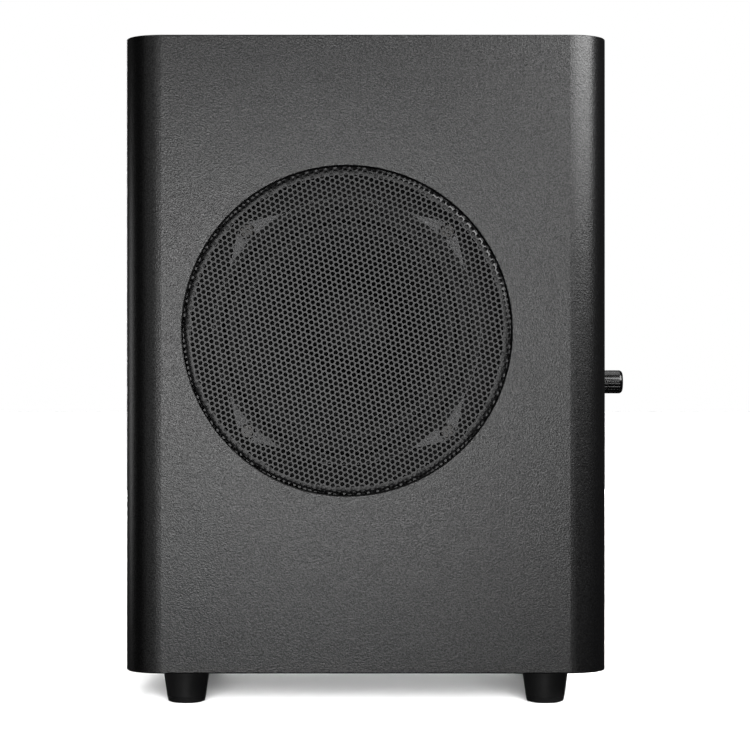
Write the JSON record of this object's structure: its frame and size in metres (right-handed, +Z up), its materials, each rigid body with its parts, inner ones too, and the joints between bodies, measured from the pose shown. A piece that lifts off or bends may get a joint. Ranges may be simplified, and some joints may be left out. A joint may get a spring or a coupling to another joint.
{
  "type": "subwoofer",
  "caption": "Upright box subwoofer with rounded corners, a side-firing woofer behind a round perforated grille, cone feet and an end plate with knobs, sockets and bass port.",
  "frame": {"origin": "on the floor, under the centre of the cabinet", "axes": "+Z up; -Y out of the woofer's grille; +X out of the amplifier plate, its knobs and the bass port"},
  "size_m": [0.2896, 0.2104, 0.38],
  "materials": {
    "charcoal_paint": "fine textured charcoal paint on fibreboard",
    "foot_plastic": "satin black moulded plastic",
    "pad_rubber": "black rubber",
    "zinc_steel": "zinc plated steel",
    "grille_paint": "charcoal powder coat on perforated steel",
    "black_plastic": "black moulded plastic",
    "frame_paint": "grey coated pressed steel",
    "gasket_foam": "black foam",
    "surround_rubber": "black butyl rubber",
    "cone_paper": "black pressed paper pulp",
    "former_aluminium": "thin aluminium sheet",
    "copper_wire": "enamelled copper wire",
    "spider_cloth": "resin treated yellow cloth",
    "plated_steel": "passivated steel",
    "ferrite": "sintered ferrite",
    "terminal_board": "brown phenolic strip with tinned blades",
    "black_screws": "black oxide steel",
    "plate_coat": "fine textured black powder coat",
    "circuit_board": "green solder mask on glass fibre",
    "sink_aluminium": "grey anodised extrusion",
    "capacitor_sleeve": "shrink sleeve over aluminium cans",
    "transformer_tape": "yellow tape over copper and iron",
    "mounting_steel": "plated steel",
    "pot_metal": "pressed steel can",
    "knob_plastic": "black semi-gloss plastic",
    "switch_plastic": "black plastic",
    "indicator_lens": "tinted clear plastic",
    "gilt_sleeves": "gold plated brass",
    "white_insulator": "white plastic",
    "red_insulator": "red plastic",
    "tinned_brass": "tin plated brass",
    "lead_sheath": "soft black sheath",
    "lead_shells": "natural nylon",
    "wadding": "white polyester wadding"
  },
  "bodies": {
    "cabinet": {"woofer_panel": "charcoal_paint", "plain_panel": "charcoal_paint", "blank_end_panel": "charcoal_paint", "amplifier_end_panel": "charcoal_paint", "top_panel": "charcoal_paint", "bottom_panel": "charcoal_paint", "foot_1": "foot_plastic", "foot_2": "foot_plastic", "foot_3": "foot_plastic", "foot_4": "foot_plastic", "foot_pads": "pad_rubber", "foot_screws": "zinc_steel", "board_fixings": "zinc_steel", "woofer_grille": "grille_paint", "grille_ring": "black_plastic", "bass_port": "black_plastic", "phase_switch_body": "black_plastic", "power_switch_body": "black_plastic", "mains_inlet": "black_plastic", "line_input_block": "black_plastic", "woofer_frame": "frame_paint", "woofer_gasket": "gasket_foam", "plate_seal": "gasket_foam", "woofer_surround": "surround_rubber", "woofer_spider": "spider_cloth", "magnet_top_plate": "plated_steel", "pole_yoke": "plated_steel", "magnet_ring": "ferrite", "woofer_terminals": "terminal_board", "woofer_screws": "black_screws", "plate_screws": "black_screws", "inlet_screws": "black_screws", "amplifier_plate": "plate_coat", "amplifier_board": "circuit_board", "heatsink": "sink_aluminium", "filter_capacitors": "capacitor_sleeve", "toroid_transformer": "transformer_tape", "transformer_mounting": "mounting_steel", "pot_nuts": "mounting_steel", "level_pot": "pot_metal", "crossover_pot": "pot_metal", "status_light": "indicator_lens", "jack_sleeves": "gilt_sleeves", "jack_insulator_white": "white_insulator", "jack_insulator_red": "red_insulator", "inlet_blades": "tinned_brass", "speaker_lead": "lead_sheath", "lead_plugs": "lead_shells", "damping_pad": "wadding"},
    "diaphragm": {"woofer_cone": "cone_paper", "dust_cap": "cone_paper", "coil_former": "former_aluminium", "coil_winding": "copper_wire"},
    "level_control": {"level_knob": "knob_plastic", "level_shaft": "mounting_steel"},
    "crossover_control": {"crossover_knob": "knob_plastic", "crossover_shaft": "mounting_steel"},
    "power_rocker": {"power_rocker": "switch_plastic"},
    "phase_slider": {"phase_switch_slider": "switch_plastic"}
  },
  "joints": [
    {"name": "cone_travel", "type": "slide", "parent": "cabinet", "child": "diaphragm", "axis": [0, -1, 0], "range_m": [-0.004, 0.004], "stiffness_N_per_m": 1200, "deforming": ["woofer_surround", "woofer_spider"]},
    {"name": "level_knob_turn", "type": "hinge", "parent": "cabinet", "child": "level_control", "pos_m": [0.1367, -0.028, 0.1845], "axis": [1, 0, 0], "range_deg": [-150, 150]},
    {"name": "crossover_knob_turn", "type": "hinge", "parent": "cabinet", "child": "crossover_control", "pos_m": [0.1367, 0.028, 0.1845], "axis": [1, 0, 0], "range_deg": [-150, 150]},
    {"name": "power_rocker_tilt", "type": "hinge", "parent": "cabinet", "child": "power_rocker", "pos_m": [0.1337, 0.032, 0.088], "axis": [0, -1, 0], "range_deg": [0, 24]},
    {"name": "phase_slide", "type": "slide", "parent": "cabinet", "child": "phase_slider", "axis": [0, 1, 0], "range_m": [0, 0.004]}
  ]
}
